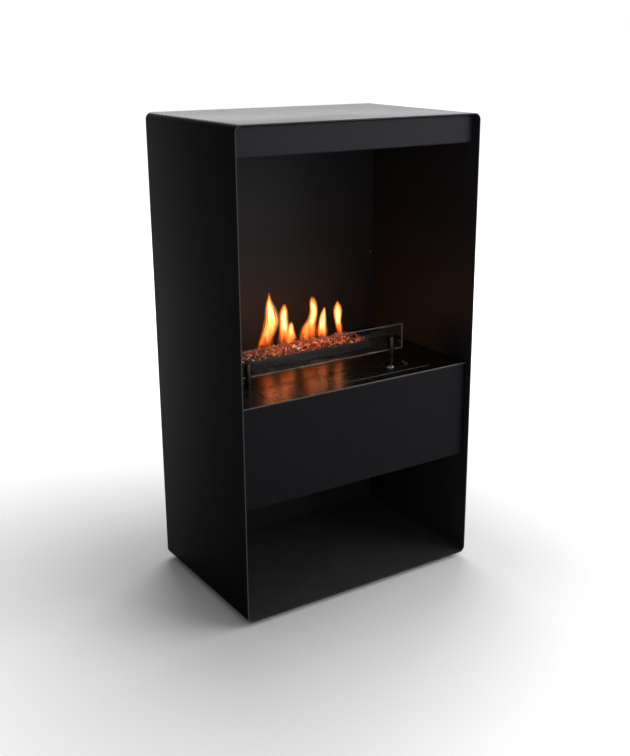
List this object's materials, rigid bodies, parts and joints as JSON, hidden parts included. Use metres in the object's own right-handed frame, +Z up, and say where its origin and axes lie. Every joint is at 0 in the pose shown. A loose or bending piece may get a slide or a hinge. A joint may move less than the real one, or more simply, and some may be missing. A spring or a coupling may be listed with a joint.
{
  "type": "bioethanol fireplace",
  "caption": "Free-standing bioethanol fireplace: black wrapped-sheet cabinet, drop-in burner with stone bed, low glass screen and open shelf.",
  "frame": {"origin": "on the floor, under the middle of the cabinet", "axes": "+Z up, the open front faces -Y, +X to the right seen from the front"},
  "size_m": [0.6, 0.395, 1.05],
  "materials": {
    "shell_black": "black satin powder coat",
    "panel_black": "black satin powder coat",
    "hearth_black": "polished gloss black enamel",
    "plain_steel": "plain mill-finish stainless steel",
    "bright_steel": "polished stainless steel",
    "zinc_steel": "zinc-plated",
    "clear_glass": "clear toughened glass with polished edges",
    "copper_stone": "shiny copper-brown angular chips",
    "ceramic_wool": "matt white ceramic wool",
    "black_rubber": "matt black silicone rubber",
    "black_plastic": "matt black plastic",
    "red_plastic": "gloss red indicator"
  },
  "bodies": {
    "cabinet": {"outer_shell": "shell_black", "back_panel": "panel_black", "header_panel": "panel_black", "front_panel": "panel_black", "hearth_plate": "hearth_black", "housing_floor": "panel_black", "side_bracket_left": "panel_black", "side_bracket_right": "panel_black", "rear_bracket": "panel_black", "burner_ledge": "panel_black", "spill_tray": "plain_steel", "back_screw_1": "zinc_steel", "back_screw_2": "zinc_steel", "back_screw_3": "zinc_steel", "back_screw_4": "zinc_steel", "back_screw_5": "zinc_steel", "back_screw_6": "zinc_steel", "back_screw_7": "zinc_steel", "back_screw_8": "zinc_steel", "floor_screw_1": "zinc_steel", "floor_screw_2": "zinc_steel", "floor_screw_3": "zinc_steel", "floor_screw_4": "zinc_steel", "foot_nut_front_left": "zinc_steel", "foot_nut_front_right": "zinc_steel", "foot_nut_rear_left": "zinc_steel", "foot_nut_rear_right": "zinc_steel"},
    "burner_unit": {"burner_plate": "hearth_black", "fuel_tank": "plain_steel", "tank_base": "plain_steel", "burner_trough": "panel_black", "flame_deck": "plain_steel", "stone_bed": "copper_stone", "fuel_absorber": "ceramic_wool", "glass_post_left": "hearth_black", "glass_post_right": "hearth_black", "glass_pad_left": "black_rubber", "glass_pad_right": "black_rubber", "filler_neck": "bright_steel", "gauge_bush": "bright_steel", "gauge_lens": "clear_glass", "float_tube": "plain_steel"},
    "glass_screen": {"glass_pane": "clear_glass"},
    "shutter": {"flame_shutter": "plain_steel"},
    "cap": {"filler_cap": "bright_steel", "cap_seal": "black_rubber"},
    "fuel_float": {"level_float": "black_plastic", "level_rod": "red_plastic"},
    "foot_front_left": {"foot_stem_front_left": "zinc_steel", "foot_pad_front_left": "black_plastic"},
    "foot_front_right": {"foot_stem_front_right": "zinc_steel", "foot_pad_front_right": "black_plastic"},
    "foot_rear_left": {"foot_stem_rear_left": "zinc_steel", "foot_pad_rear_left": "black_plastic"},
    "foot_rear_right": {"foot_stem_rear_right": "zinc_steel", "foot_pad_rear_right": "black_plastic"}
  },
  "joints": [
    {"name": "burner_lift", "type": "slide", "parent": "cabinet", "child": "burner_unit", "axis": [0, 0, 1], "range_m": [0, 0.12]},
    {"name": "glass_lift", "type": "slide", "parent": "burner_unit", "child": "glass_screen", "axis": [0, 0, 1], "range_m": [0, 0.06]},
    {"name": "shutter_slide", "type": "slide", "parent": "burner_unit", "child": "shutter", "axis": [1, 0, 0], "range_m": [0, 0.017]},
    {"name": "cap_lift", "type": "slide", "parent": "burner_unit", "child": "cap", "axis": [0, 0, 1], "range_m": [0, 0.05]},
    {"name": "float_rise", "type": "slide", "parent": "burner_unit", "child": "fuel_float", "axis": [0, 0, 1], "range_m": [0, 0.038]},
    {"name": "foot_front_left_level", "type": "slide", "parent": "cabinet", "child": "foot_front_left", "axis": [0, 0, -1], "range_m": [0, 0.004]},
    {"name": "foot_front_right_level", "type": "slide", "parent": "cabinet", "child": "foot_front_right", "axis": [0, 0, -1], "range_m": [0, 0.004]},
    {"name": "foot_rear_left_level", "type": "slide", "parent": "cabinet", "child": "foot_rear_left", "axis": [0, 0, -1], "range_m": [0, 0.004]},
    {"name": "foot_rear_right_level", "type": "slide", "parent": "cabinet", "child": "foot_rear_right", "axis": [0, 0, -1], "range_m": [0, 0.004]}
  ]
}
